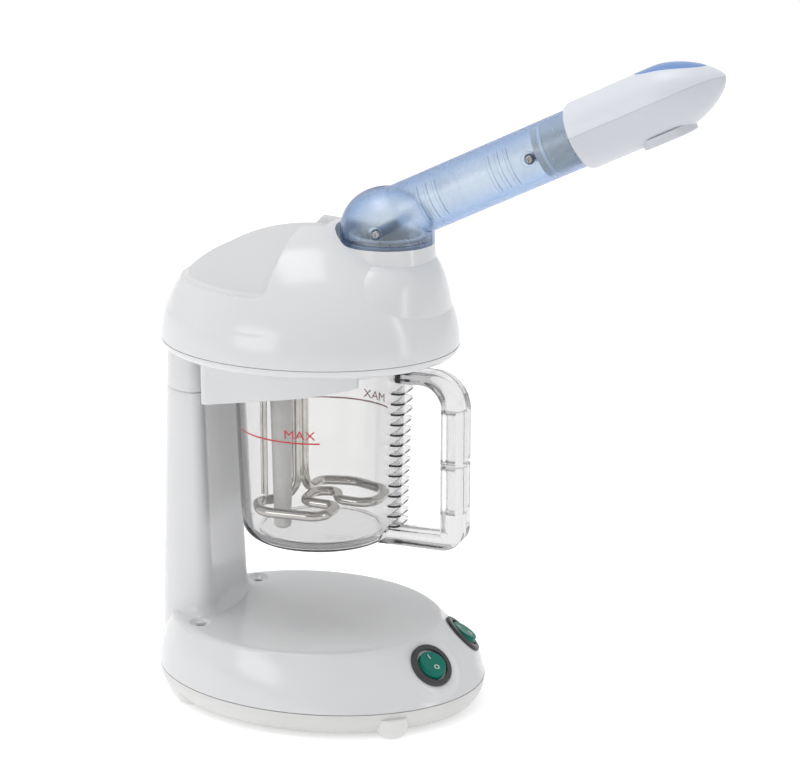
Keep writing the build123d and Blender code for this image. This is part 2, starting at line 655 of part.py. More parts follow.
# Ceramic beads that end each leg of the heater, with a spade for its wire.
with BuildPart() as heater_ends:
    for side in (-1, 1):
        with BuildSketch(level(233.0, LEG_Y, side * LEG_X)):
            Circle(2.6)
        extrude(amount=5.0)
        with BuildSketch(level(238.0, LEG_Y, side * LEG_X)):
            Rectangle(0.8, 4.0)
        extrude(amount=8.0)
keep(heater_ends.part, "heater_ends")

with BuildPart() as probe_sleeve:
    with BuildSketch(side_plane(SLEEVE_Y, SLEEVE_X)):
        with BuildLine():
            Line((0, 112.0), (2.5, 112.0))
            ThreePointArc((2.5, 112.0), (4.4, 112.9), (5.2, 115.0))
            Polyline((5.2, 115.0), (7.4, HEAD_UNDER + 2.75), (8.2, HEAD_UNDER + 2.75),
                     (8.2, HEAD_UNDER + 4.7), (0, HEAD_UNDER + 4.7), (0, 112.0))
        make_face()
    revolve(axis=upright(SLEEVE_Y, SLEEVE_X))
    with BuildSketch(level(HEAD_UNDER + 5.0, SLEEVE_Y, SLEEVE_X)):
        Circle(4.0)
    extrude(amount=-100.0, mode=Mode.SUBTRACT)
keep(probe_sleeve.part, "probe_sleeve")

with BuildPart() as level_rods:
    for spot_x, spot_y in ROD_SPOTS:
        with BuildSketch(level(133.0, spot_y, spot_x)):
            Circle(1.0)
        extrude(amount=102.0)
keep(level_rods.part, "level_rods")

with BuildPart() as rod_bushes:
    for spot_x, spot_y in ROD_SPOTS:
        with BuildSketch(level(PLATE_TOP, spot_y, spot_x)):
            Circle(1.8)
            Circle(1.05, mode=Mode.SUBTRACT)
        extrude(amount=4.0)
keep(rod_bushes.part, "rod_bushes")

with BuildPart() as plate_screws:
    for spot_x, spot_y in PLATE_SCREW_SPOTS:
        add(screw(level(PLATE_TOP, spot_y, spot_x), 3.0, 1.8, 1.5, 5.0))
keep(plate_screws.part, "plate_screws")

with BuildPart() as thermostat:
    with BuildSketch(level(PLATE_TOP, 14.0, 26.0)):
        Circle(7.6)
    extrude(amount=5.0)
    with BuildSketch(level(PLATE_TOP + 5.0, 14.0, 26.0)):
        with Locations((-4.5, 0), (4.5, 0)):
            Rectangle(0.8, 4.8)
    extrude(amount=6.5)
keep(thermostat.part, "thermostat")

# Duct that carries the steam from the plate's port up into the neck.
DUCT_TOP = 292.0
LAMP_Z = 246.0
with BuildPart() as steam_duct:
    with BuildSketch(level(PLATE_TOP, -28.0)):
        Circle(15.0)
    extrude(amount=2.2)
    for inset in (0.0, 1.8):
        with BuildSketch(level(PLATE_TOP, -28.0)):
            Circle(11.8 - inset)
        with BuildSketch(level(272.0, NECK_Y)):
            Circle(18.6 - inset)
        loft(mode=Mode.ADD if inset == 0.0 else Mode.SUBTRACT)
    with BuildSketch(level(272.0, NECK_Y)):
        Circle(18.6)
        Circle(16.8, mode=Mode.SUBTRACT)
    extrude(amount=DUCT_TOP - 272.0)
    with BuildSketch(side_plane(-10.0)):
        with Locations((0, LAMP_Z)):
            Circle(4.4)
    extrude(amount=18.0, mode=Mode.SUBTRACT)
keep(steam_duct.part, "steam_duct")

with BuildPart() as lamp_holder:
    with BuildSketch(level(LAMP_Z - 7.0, -11.0)):
        Rectangle(16.0, 11.0)
    extrude(amount=14.0)
    fillet(lamp_holder.edges().filter_by(Axis.Z), 1.5)
keep(lamp_holder.part, "lamp_holder")

with BuildPart() as ozone_lamp:
    with BuildSketch(side_plane(-16.5)):
        with Locations((0, LAMP_Z)):
            Circle(4.0)
    extrude(amount=20.0)
    fillet(ozone_lamp.edges().sort_by(Axis.Y)[0], 3.5)
keep(ozone_lamp.part, "ozone_lamp")

with BuildPart() as head_screws:
    for spot_x, spot_y in ((62.0, 6.0), (-62.0, 6.0), (24.0, -66.0), (-24.0, -66.0)):
        plane = Plane(origin=(spot_x, AXIS_Y + spot_y, HEAD_UNDER), x_dir=(1, 0, 0), z_dir=(0, 0, -1))
        add(screw(plane, 3.0, 1.8, 1.5, 14.0))
keep(head_screws.part, "head_screws")

# ---------------------------------------------------------------- arm
def arm_form(inset, end):
    """Elbow and tube as one solid, drawn in by a wall for its hollow."""
    with BuildPart() as body:
        with BuildSketch(side_plane(NECK_Y)):
            with BuildLine():
                EllipticalCenterArc((0, ELBOW_SPRING), ELBOW_R - inset, ELBOW_RISE - inset, arc_size=90)
                Polyline((0, ELBOW_SPRING + ELBOW_RISE - inset), (0, ELBOW_FOOT - inset),
                         (ELBOW_R - inset, ELBOW_FOOT - inset), (ELBOW_R - inset, ELBOW_SPRING))
            make_face()
        revolve(axis=upright(NECK_Y))
        with BuildSketch(arm_section(0.0)):
            Circle(TUBE_R - inset)
        extrude(amount=end)
    return body.part


with BuildPart() as neck_clip:
    add(ring(SPIGOT_R + 2.4, SPIGOT_R - 1.1, CLIP_LOW + 0.1, CLIP_HIGH - 0.1, NECK_Y))
    with BuildSketch(level(CLIP_LOW - 1.0, NECK_Y + 25.0)):
        Rectangle(16.0, 26.0)
    extrude(amount=4.0, mode=Mode.SUBTRACT)
keep(neck_clip.part, "neck_clip")

# Both screws go in from the left and through the steam way in a pair of posts.
SCREW_SPOTS = [((0, AXIS_Y + NECK_Y - 3.0, 299.8), ELBOW_R - 0.5), (arm_point(103.0), TUBE_R)]
POST_R = 3.2
with BuildPart() as arm_whole:
    add(arm_form(0.0, TUBE_END))
    for spot in RIB_SPOTS:
        with BuildSketch(arm_section(spot - 1.1)):
            Circle(TUBE_R + 0.8)
            with Locations((0, 20.0), (0, -20.0)):
                Rectangle(60.0, 18.0, mode=Mode.SUBTRACT)
        extrude(amount=2.2)
    for spot, reach in SCREW_SPOTS:
        for side in (-1, 1):
            with BuildSketch(Plane(origin=spot, x_dir=(0, 1, 0), z_dir=(side, 0, 0)).offset(reach - 6.0)):
                Circle(4.6)
            extrude(amount=6.6)
    with BuildSketch(level(ELBOW_FOOT - 10.0, NECK_Y)):
        Circle(60.0)
    extrude(amount=10.0, mode=Mode.SUBTRACT)
    add(arm_form(TUBE_WALL, TUBE_END + 5.0), mode=Mode.SUBTRACT)
    # Flange that turns on the spigot, under its clip.
    add(ring(ELBOW_R - 1.0, SPIGOT_R + 0.3, FLANGE_LOW, FLANGE_HIGH, NECK_Y))
    for spot, reach in SCREW_SPOTS:
        with BuildSketch(Plane(origin=spot, x_dir=(0, 1, 0), z_dir=(1, 0, 0)).offset(1.0 - reach)):
            Circle(POST_R)
        extrude(amount=2 * reach - 2.0)

with BuildPart() as arm_half:
    add(arm_whole.part)
    with BuildSketch(long_plane()):
        with Locations((-60.0, 330.0)):
            Rectangle(400.0, 200.0)
    extrude(amount=60.0, mode=Mode.INTERSECT)

for name, side in (("left", -1), ("right", 1)):
    with BuildPart() as arm_shell:
        add(arm_half.part)
        if side < 0:
            mirror(about=Plane.YZ, mode=Mode.REPLACE)
        for spot, reach in SCREW_SPOTS:
            head_seat = Plane(origin=spot, x_dir=(0, 1, 0), z_dir=(-1, 0, 0)).offset(reach - 1.6)
            with BuildSketch(head_seat):
                Circle(1.6)
            extrude(amount=-reach - 8.0, mode=Mode.SUBTRACT)
            with BuildSketch(head_seat):
                Circle(2.6)
            extrude(amount=6.0, mode=Mode.SUBTRACT)
    keep(arm_shell.part, f"arm_shell_{name}")

with BuildPart() as arm_screws:
    for spot, reach in SCREW_SPOTS:
        head_seat = Plane(origin=spot, x_dir=(0, 1, 0), z_dir=(-1, 0, 0)).offset(reach - 1.5)
        add(screw(head_seat, 2.3, 1.5, 1.45, reach + 5.0))
keep(arm_screws.part, "arm_screws")

# ---------------------------------------------------------------- nozzle head
PARTING = 0.8            # parting plane above the tube's axis
SLEEVE_START = 107.0


def nozzle_form(inset):
    """Bullet-shaped head round the tube's axis, drawn in by a wall for its hollow."""
    radius = NOZZLE_R - inset
    tail = NOZZLE_TAIL + inset
    shoulder = 188.0
    with BuildPart() as body:
        with BuildSketch(arm_long_plane()):
            with BuildLine():
                Polyline((shoulder, 0), (tail, 0), (tail, radius - 3.4))
                ThreePointArc((tail, radius - 3.4), (tail + 0.8, radius - 1.7), (tail + 2.6, radius - 0.9))
                Line((tail + 2.6, radius - 0.9), (shoulder, radius))
                EllipticalCenterArc((shoulder, 0), NOZZLE_TIP - inset - shoulder, radius, start_angle=0,
                                    arc_size=90)
                Line((shoulder, 0), (NOZZLE_TIP - inset, 0))
            make_face()
        revolve(axis=ARM_LINE)
    return body.part


def above_arm(height, along=0.0):
    """Plane parallel to the tube's top: local x runs along the tube, local z upwards."""
    return Plane(origin=arm_point(along, 0.0, height), x_dir=(0, -TILT_COS, TILT_SIN),
                 z_dir=(0, TILT_SIN, TILT_COS))


INSET_MID = 194.0
with BuildPart() as nozzle_whole:
    add(nozzle_form(0.0))
    with BuildSketch(above_arm(-22.2, OUTLET_MID)):
        RectangleRounded(32.0, 25.0, 10.0)
    extrude(amount=9.0)
    add(nozzle_form(NOZZLE_WALL), mode=Mode.SUBTRACT)
    with BuildSketch(above_arm(-24.0, OUTLET_MID)):
        RectangleRounded(28.8, 21.8, 8.4)
    extrude(amount=16.0, mode=Mode.SUBTRACT)
    with BuildSketch(arm_section(NOZZLE_TAIL - 1.0)):
        Circle(13.9)
    extrude(amount=NOZZLE_WALL + 2.0, mode=Mode.SUBTRACT)
    with BuildSketch(above_arm(8.0, INSET_MID)):
        Ellipse(19.2, 8.2)
    extrude(amount=20.0, mode=Mode.SUBTRACT)
    # Seat for the screw under the tail.
    with BuildSketch(above_arm(-19.4, 145.0)):
        Circle(3.8)
    extrude(amount=8.0)
    with BuildSketch(above_arm(-24.0, 145.0)):
        Circle(2.9)
    extrude(amount=6.0, mode=Mode.SUBTRACT)
    with BuildSketch(above_arm(-24.0, 145.0)):
        Circle(1.5)
    extrude(amount=14.0, mode=Mode.SUBTRACT)

for name, low, high in (("upper", PARTING + 0.05, 40.0), ("lower", -40.0, PARTING - 0.05)):
    with BuildPart() as nozzle_shell:
        add(nozzle_whole.part)
        with BuildSketch(above_arm(low, 175.0)):
            Rectangle(160.0, 80.0)
        extrude(amount=high - low, mode=Mode.INTERSECT)
    keep(nozzle_shell.part, f"nozzle_{name}_shell")

with BuildPart() as nozzle_inset:
    add(nozzle_form(0.1))
    add(nozzle_form(NOZZLE_WALL - 0.2), mode=Mode.SUBTRACT)
    with BuildSketch(above_arm(8.0, INSET_MID)):
        Ellipse(19.0, 8.0)
    extrude(amount=20.0, mode=Mode.INTERSECT)
keep(nozzle_inset.part, "nozzle_inset")

with BuildPart() as outlet_grille:
    with BuildSketch(above_arm(-19.4, OUTLET_MID)):
        RectangleRounded(28.5, 21.5, 8.2)
        with GridLocations(4.6, 1.0, 5, 1):
            SlotOverall(15.0, 2.4, rotation=90, mode=Mode.SUBTRACT)
    extrude(amount=1.8)
keep(outlet_grille.part, "outlet_grille")

with BuildPart() as nozzle_sleeve:
    for start, end, radius in ((SLEEVE_START, NOZZLE_TAIL - 0.05, 15.0), (NOZZLE_TAIL - 0.05, 136.0, 13.8),
                               (NOZZLE_TAIL + NOZZLE_WALL + 0.05, 134.0, 14.7)):
        with BuildSketch(arm_section(start)):
            Circle(radius)
        extrude(amount=end - start)
    with BuildSketch(arm_section(SLEEVE_START)):
        Circle(12.4)
    extrude(amount=40.0, mode=Mode.SUBTRACT)
    with BuildSketch(arm_section(SLEEVE_START + 4.0)):
        Circle(16.0)
        Circle(14.2, mode=Mode.SUBTRACT)
    extrude(amount=2.2, mode=Mode.SUBTRACT)
keep(nozzle_sleeve.part, "nozzle_sleeve")

with BuildPart() as nozzle_o_ring:
    with BuildSketch(arm_section(SLEEVE_START + 4.1)):
        Circle(15.25)
        Circle(14.25, mode=Mode.SUBTRACT)
    extrude(amount=2.0)
keep(nozzle_o_ring.part, "nozzle_o_ring")

with BuildPart() as nozzle_screw:
    seat = Plane(origin=arm_point(145.0, 0.0, -18.1), x_dir=(1, 0, 0), z_dir=(0, -TILT_SIN, -TILT_COS))
    add(screw(seat, 2.6, 1.5, 1.4, 6.0))
keep(nozzle_screw.part, "nozzle_screw")
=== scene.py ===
"""Looks of the table-top facial steamer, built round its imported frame."""
import json
import math

import bmesh
import bpy
import numpy as np
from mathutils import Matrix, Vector


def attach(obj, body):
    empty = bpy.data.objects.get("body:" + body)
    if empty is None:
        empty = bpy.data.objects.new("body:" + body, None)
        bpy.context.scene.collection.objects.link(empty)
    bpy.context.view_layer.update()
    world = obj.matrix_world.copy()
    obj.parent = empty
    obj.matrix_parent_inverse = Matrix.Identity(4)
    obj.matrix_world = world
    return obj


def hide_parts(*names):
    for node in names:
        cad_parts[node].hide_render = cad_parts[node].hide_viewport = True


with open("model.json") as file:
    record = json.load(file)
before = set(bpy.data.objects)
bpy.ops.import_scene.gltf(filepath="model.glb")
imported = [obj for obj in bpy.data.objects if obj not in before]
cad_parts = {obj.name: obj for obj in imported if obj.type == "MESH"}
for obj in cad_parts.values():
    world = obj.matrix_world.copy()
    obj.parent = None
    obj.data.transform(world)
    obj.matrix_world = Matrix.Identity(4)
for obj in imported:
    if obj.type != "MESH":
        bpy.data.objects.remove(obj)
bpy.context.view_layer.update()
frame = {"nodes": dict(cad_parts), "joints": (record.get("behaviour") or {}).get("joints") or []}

# ---------------------------------------------------------------- sizes, in mm, about the jar's axis
MM = 0.001
JOINTS = {joint["name"]: joint for joint in frame["joints"]}
AXIS_Y = JOINTS["jar_twist"]["pos_m"][1] / MM
NECK_Y = JOINTS["arm_swivel"]["pos_m"][1] / MM - AXIS_Y

HEAD_Y = 6.2             # middle of the dome behind the jar's axis
HEAD_HALF = (77.2, 92.6, 74.6)
HEAD_SEAM = 226.4
NECK_TOP = 290.0
NECK_R = 28.1
NECK_TAPER = 0.11
POCKET_R = 31.0
SPIGOT_R = 22.5
SPIGOT_TOP = 294.8

BASE_SEAM = 16.2
BASE_TOP = 50.0
BASE_EDGE = BASE_TOP - 2.2   # where the side turns over into the top
BASE_MIDS = (0.7, 6.0, 10.0)  # middle and half sizes of the base at its seam, at 36 mm and at its top
BASE_HALF_X = (82.5, 78.3, 72.0)
BASE_HALF_Y = (104.7, 95.1, 85.0)
DISH_DEPTH = 2.0
FOOT_SCREW = (43.0, 63.0)
COLUMN_Y = 72.3
COLUMN_LOW = 28.5
COLUMN_TOP = 191.6

ARM_AXIS_Z = JOINTS["nozzle_swivel"]["pos_m"][2] / MM
ARM_COS = -JOINTS["nozzle_swivel"]["axis"][1]
ARM_SIN = JOINTS["nozzle_swivel"]["axis"][2]
NOZZLE_TAIL = 130.25
NOZZLE_SHOULDER = 186.0
NOZZLE_TIP = 223.0
NOZZLE_EDGE = 9.0        # degrees past which its edges stay sharp
OUTLET_MID = 180.0

SWITCH_SPOT = (27.9, -82.9, 36.3)
SWITCH_NORMAL = (0.3066, -0.6427, 0.7022)
SWITCH_TILT = math.radians(45.4)
SWITCH_SPLAY = math.radians(25.5)
ROCKER_LEAN = 12.0


# ---------------------------------------------------------------- mesh helpers
def smooth(value, low=0.0, high=1.0):
    """Smooth step from 0 at low to 1 at high."""
    t = np.clip((np.asarray(value, float) - low) / (high - low), 0.0, 1.0)
    return t * t * (3.0 - 2.0 * t)


def shade(piece, degrees=35.0):
    """Smooth shading, with edges kept sharp past an angle."""
    mesh = piece.data
    mesh.polygons.foreach_set("use_smooth", np.ones(len(mesh.polygons), bool))
    mesh.set_sharp_from_angle(angle=math.radians(degrees))
    return piece


def new_mesh(name, points, faces, degrees=35.0):
    """Object from points in mm about the jar's axis."""
    mesh = bpy.data.meshes.new(name)
    placed = (np.asarray(points, float).reshape(-1, 3) + (0.0, AXIS_Y, 0.0)) * MM
    mesh.from_pydata(placed.tolist(), [], faces)
    mesh.validate()
    piece = bpy.data.objects.new(name, mesh)
    bpy.context.scene.collection.objects.link(piece)
    return shade(piece, degrees)


def grid_faces(rows, columns, wrap=True, first=0):
    """Quads of a grid of points whose columns may close on themselves."""
    across = columns if wrap else columns - 1
    faces = []
    for row in range(rows - 1):
        start = first + row * columns
        for column in range(across):
            after = (column + 1) % columns
            faces.append((start + column, start + after,
                          start + columns + after, start + columns + column))
    return faces


def grid_mesh(name, rows, wrap=True, cap_first=False, cap_last=False, degrees=35.0):
    """Object from a grid of points, with flat caps on its first and last rows if asked."""
    rows = np.asarray(rows, float)
    count, columns = rows.shape[:2]
    faces = grid_faces(count, columns, wrap)
    if cap_first:
        faces.append(tuple(range(columns))[::-1])
    if cap_last:
        faces.append(tuple(range((count - 1) * columns, count * columns)))
    return new_mesh(name, rows, faces, degrees)


def ellipse(turns, mid_y, half_x, half_y, level):
    """Closed oval at a height, about x = 0."""
    return np.stack([half_x * np.cos(turns), mid_y + half_y * np.sin(turns), level + 0.0 * turns], axis=1)


def rounded_rect(length, width, corner):
    """Outline of a rectangle with round corners, about the origin."""
    points = []
    for quarter, (side_x, side_y) in enumerate(((1, 1), (-1, 1), (-1, -1), (1, -1))):
        for t in np.linspace(0.0, 0.5 * math.pi, 9) + quarter * 0.5 * math.pi:
            points.append((side_x * (length / 2.0 - corner) + corner * math.cos(t),
                           side_y * (width / 2.0 - corner) + corner * math.sin(t)))
    return np.array(points)


def flip(piece):
    """Turns all faces outwards."""
    solid = bmesh.new()
    solid.from_mesh(piece.data)
    bmesh.ops.recalc_face_normals(solid, faces=solid.faces)
    solid.to_mesh(piece.data)
    solid.free()


def apply_modifiers(piece):
    """Writes a piece's modifiers into its mesh."""
    graph = bpy.context.evaluated_depsgraph_get()
    graph.update()
    made = bpy.data.meshes.new_from_object(piece.evaluated_get(graph))
    piece.modifiers.clear()
    piece.data = made


def cut_away(piece, tool):
    """Cuts a closed tool out of a piece and removes the tool."""
    flip(tool)
    modifier = piece.modifiers.new("cut", "BOOLEAN")
    modifier.operation = "DIFFERENCE"
    modifier.solver = "EXACT"
    modifier.object = tool
    apply_modifiers(piece)
    bpy.data.objects.remove(tool)


def dress(piece, material, body, slot, *nodes):
    """Material and body of a piece, and the frame nodes that it stands for, which are hidden. The slot is not
    used.
    """
    piece.data.materials.append(material)
    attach(piece, body)
    if nodes:
        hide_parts(*nodes)
    return piece


# ---------------------------------------------------------------- materials
def principled(name, **sockets):
    """A material whose Principled shader has these sockets set."""
    material = bpy.data.materials.new(name)
    material.use_nodes = True
    shader = material.node_tree.nodes["Principled BSDF"]
    for socket, value in sockets.items():
        shader.inputs[socket.replace("_", " ")].default_value = value
    return material, material.node_tree, shader


def noise(tree, scale, detail=4.0, roughness=0.5):
    """Noise in the object's own metres."""
    nodes, links = tree.nodes, tree.links
    where = nodes.new("ShaderNodeTexCoord")
    texture = nodes.new("ShaderNodeTexNoise")
    texture.inputs["Scale"].default_value = scale
    texture.inputs["Detail"].default_value = detail
    texture.inputs["Roughness"].default_value = roughness
    links.new(where.outputs["Object"], texture.inputs["Vector"])
    return texture.outputs["Fac"]


def spread(tree, value, low, high, from_low=0.3, from_high=0.7):
    """Maps a noise value to a range."""
    node = tree.nodes.new("ShaderNodeMapRange")
    node.inputs["From Min"].default_value = from_low
    node.inputs["From Max"].default_value = from_high
    node.inputs["To Min"].default_value = low
    node.inputs["To Max"].default_value = high
    tree.links.new(value, node.inputs["Value"])
    return node.outputs["Result"]


def vary_colour(tree, shader, value, first, second):
    """Base colour between two colours by a noise value."""
    node = tree.nodes.new("ShaderNodeMix")
    node.data_type = "RGBA"
    node.inputs["A"].default_value = (*first, 1.0)
    node.inputs["B"].default_value = (*second, 1.0)
    tree.links.new(value, node.inputs["Factor"])
    tree.links.new(node.outputs["Result"], shader.inputs["Base Color"])


def bump(tree, shader, value, distance, strength=0.5):
    """Bump from a noise value, its distance in metres."""
    node = tree.nodes.new("ShaderNodeBump")
    node.inputs["Strength"].default_value = strength
    node.inputs["Distance"].default_value = distance
    tree.links.new(value, node.inputs["Height"])
    tree.links.new(node.outputs["Normal"], shader.inputs["Normal"])


def moulded(name, first, second, rough, grain=0.00002, grain_scale=900.0, **sockets):
    """Moulded plastic: slow colour drift, roughness clouds with fine rubbed spots, and a fine skin."""
    material, tree, shader = principled(name, **sockets)
    vary_colour(tree, shader, spread(tree, noise(tree, 14.0), 0.0, 1.0), first, second)
    tree.links.new(spread(tree, noise(tree, 60.0, 6.0, 0.65), rough[0], rough[1]), shader.inputs["Roughness"])
    bump(tree, shader, noise(tree, grain_scale, 3.0), grain)
    return material


def metal(name, first, second, rough, scratch=0.00001, scratch_scale=2500.0):
    """Metal with slow colour drift, roughness clouds and fine scratches."""
    material, tree, shader = principled(name, Metallic=1.0)
    vary_colour(tree, shader, spread(tree, noise(tree, 90.0), 0.0, 1.0), first, second)
    tree.links.new(spread(tree, noise(tree, 400.0, 6.0, 0.7), rough[0], rough[1]), shader.inputs["Roughness"])
    bump(tree, shader, noise(tree, scratch_scale, 2.0), scratch, 0.3)
    return material


def clear(name, tint, rough, ior=1.5, depth_colour=None, density=0.0, edge=None, skin=0.00002):
    """See-through plastic that lets lamps through to what it holds, deeper in colour where seen edge on."""
    material, tree, shader = principled(name, Transmission_Weight=1.0, IOR=ior)
    nodes, links = tree.nodes, tree.links
    slant = nodes.new("ShaderNodeLayerWeight")
    slant.inputs["Blend"].default_value = 0.35
    drift = nodes.new("ShaderNodeMath")
    drift.operation = "MULTIPLY"
    links.new(slant.outputs["Facing"], drift.inputs[0])
    links.new(spread(tree, noise(tree, 25.0), 0.93, 1.0), drift.inputs[1])
    vary_colour(tree, shader, drift.outputs["Value"], tint, edge or tint)
    links.new(spread(tree, noise(tree, 120.0, 6.0, 0.7), rough[0], rough[1]), shader.inputs["Roughness"])
    bump(tree, shader, noise(tree, 300.0, 2.0), skin, 0.25)
    path = nodes.new("ShaderNodeLightPath")
    passing = nodes.new("ShaderNodeBsdfTransparent")
    passing.inputs["Color"].default_value = (*tint, 1.0)
    either = nodes.new("ShaderNodeMixShader")
    links.new(path.outputs["Is Shadow Ray"], either.inputs["Fac"])
    links.new(shader.outputs["BSDF"], either.inputs[1])
    links.new(passing.outputs["BSDF"], either.inputs[2])
    links.new(either.outputs["Shader"], nodes["Material Output"].inputs["Surface"])
    if depth_colour:
        absorb = nodes.new("ShaderNodeVolumeAbsorption")
        absorb.inputs["Color"].default_value = (*depth_colour, 1.0)
        absorb.inputs["Density"].default_value = density
        links.new(absorb.outputs["Volume"], nodes["Material Output"].inputs["Volume"])
    return material


SHELL_WHITE = moulded("shell_white", (0.655, 0.66, 0.67), (0.625, 0.63, 0.64), (0.14, 0.22))
# Darker, rougher copy of the shell white for the dome's scooped rear panel above its fold. Its darker tone is
# painted shade in the scoop.
PANEL_PAINTED_SHADE = moulded("panel_matt_painted_shade", (0.585, 0.59, 0.60), (0.56, 0.565, 0.575), (0.42, 0.52),
                      0.00004, 1800.0)
NOZZLE_WHITE = moulded("nozzle_white", (0.64, 0.66, 0.71), (0.61, 0.63, 0.68), (0.30, 0.40),
                       0.00004, 1500.0)
# Darker copy of the nozzle white for the lower shell, the lower half of the cover and the outlet skirt:
# painted shade on the nozzle's underside.
NOZZLE_PAINTED_SHADE = moulded("nozzle_painted_shade", (0.55, 0.57, 0.61), (0.52, 0.54, 0.58), (0.30, 0.40),
                      0.00004, 1500.0)
TRAY_WHITE = moulded("tray_white", (0.66, 0.66, 0.65), (0.62, 0.62, 0.61), (0.35, 0.45))
FOOT_WHITE = moulded("foot_rubber", (0.74, 0.74, 0.73), (0.68, 0.68, 0.67), (0.55, 0.7), 0.00005)
INNER_WHITE = moulded("inner_white", (0.56, 0.56, 0.54), (0.52, 0.52, 0.50), (0.35, 0.5))
GLAZE = moulded("sleeve_glaze", (0.80, 0.80, 0.78), (0.74, 0.74, 0.72), (0.2, 0.35))
BEZEL_BLACK = moulded("bezel_black", (0.035, 0.035, 0.037), (0.025, 0.025, 0.028), (0.32, 0.42),
                      0.00003, 1800.0)
MATT_BLACK = moulded("matt_black", (0.03, 0.03, 0.03), (0.05, 0.05, 0.05), (0.5, 0.7))
BOARD_GREEN = moulded("board_green", (0.02, 0.16, 0.06), (0.03, 0.20, 0.08), (0.3, 0.45))
WIRE_GREY = moulded("wire_sleeve", (0.12, 0.12, 0.13), (0.08, 0.08, 0.09), (0.4, 0.55))
SEAL_MILKY = moulded("seal_silicone", (0.74, 0.77, 0.79), (0.70, 0.73, 0.76), (0.4, 0.55))
MARK_WHITE = moulded("mark_white", (0.80, 0.86, 0.84), (0.74, 0.80, 0.78), (0.4, 0.5))
PRINT_RED = moulded("print_red", (0.50, 0.022, 0.028), (0.45, 0.018, 0.024), (0.35, 0.5))
STEEL = metal("heater_steel", (0.72, 0.70, 0.67), (0.60, 0.58, 0.55), (0.10, 0.22))
PLATED = metal("screw_plate", (0.36, 0.35, 0.33), (0.28, 0.27, 0.26), (0.15, 0.35))
BRASS = metal("brass", (0.80, 0.62, 0.32), (0.70, 0.52, 0.25), (0.25, 0.4))
JAR_CLEAR = clear("jar_clear", (0.835, 0.832, 0.828), (0.02, 0.05), 1.4, (0.80, 0.80, 0.81), 60.0,
                  edge=(0.62, 0.62, 0.63), skin=0.000006)
ARM_BLUE = clear("arm_blue", (0.765, 0.805, 0.835), (0.25, 0.28), 1.38, (0.30, 0.55, 0.95), 26.0,
                 edge=(0.22, 0.50, 0.99), skin=0.000002)
INSET_BLUE = moulded("inset_blue", (0.18, 0.36, 0.72), (0.15, 0.32, 0.68), (0.16, 0.24),
                     Transmission_Weight=0.3)
ROCKER_GREEN = moulded("rocker_green", (0.008, 0.165, 0.125), (0.006, 0.14, 0.10), (0.30, 0.38),
                       Specular_IOR_Level=0.15)
LAMP_GLASS = clear("lamp_glass", (0.92, 0.95, 1.0), (0.02, 0.05))

# nozzle_lower_shell takes the darker nozzle material, which is painted shade.
NODE_MATERIAL = {
    "arm_screws": PLATED, "arm_shell_left": ARM_BLUE, "arm_shell_right": ARM_BLUE, "base_screws": PLATED,
    "base_shell": SHELL_WHITE, "base_tray": TRAY_WHITE, "board_screws": PLATED, "capacitor": MATT_BLACK,
    "cord_gland": BEZEL_BLACK, "feet": FOOT_WHITE, "foot_screws": PLATED, "head_dome": SHELL_WHITE,
    "head_lower_shell": SHELL_WHITE, "head_screws": PLATED, "heater": STEEL, "heater_ends": BRASS,
    "heater_nuts": BRASS, "heater_plate": STEEL, "jar": JAR_CLEAR, "jar_seal": SEAL_MILKY,
    "lamp_holder": GLAZE, "level_rods": STEEL, "neck_clip": PLATED, "nozzle_inset": INSET_BLUE,
    "nozzle_lower_shell": NOZZLE_PAINTED_SHADE, "nozzle_o_ring": SEAL_MILKY, "nozzle_screw": PLATED,
    "nozzle_sleeve": INNER_WHITE, "nozzle_upper_shell": NOZZLE_WHITE, "outlet_grille": INNER_WHITE,
    "ozone_board": BOARD_GREEN, "ozone_lamp": LAMP_GLASS, "plate_screws": PLATED, "probe_sleeve": GLAZE,
    "rocker_left": ROCKER_GREEN, "rocker_right": ROCKER_GREEN, "rod_bushes": SEAL_MILKY,
    "steam_duct": INNER_WHITE, "switch_housing_left": BEZEL_BLACK, "switch_housing_right": BEZEL_BLACK,
    "switch_terminals_left": BRASS, "switch_terminals_right": BRASS, "terminal_block": INNER_WHITE,
    "thermostat": MATT_BLACK, "transformer": MATT_BLACK, "wiring_loom": WIRE_GREY,
}
for node_name, node_material in NODE_MATERIAL.items():
    node = frame["nodes"][node_name]
    node.data.materials.clear()
    node.data.materials.append(node_material)
    shade(node, 28.0)


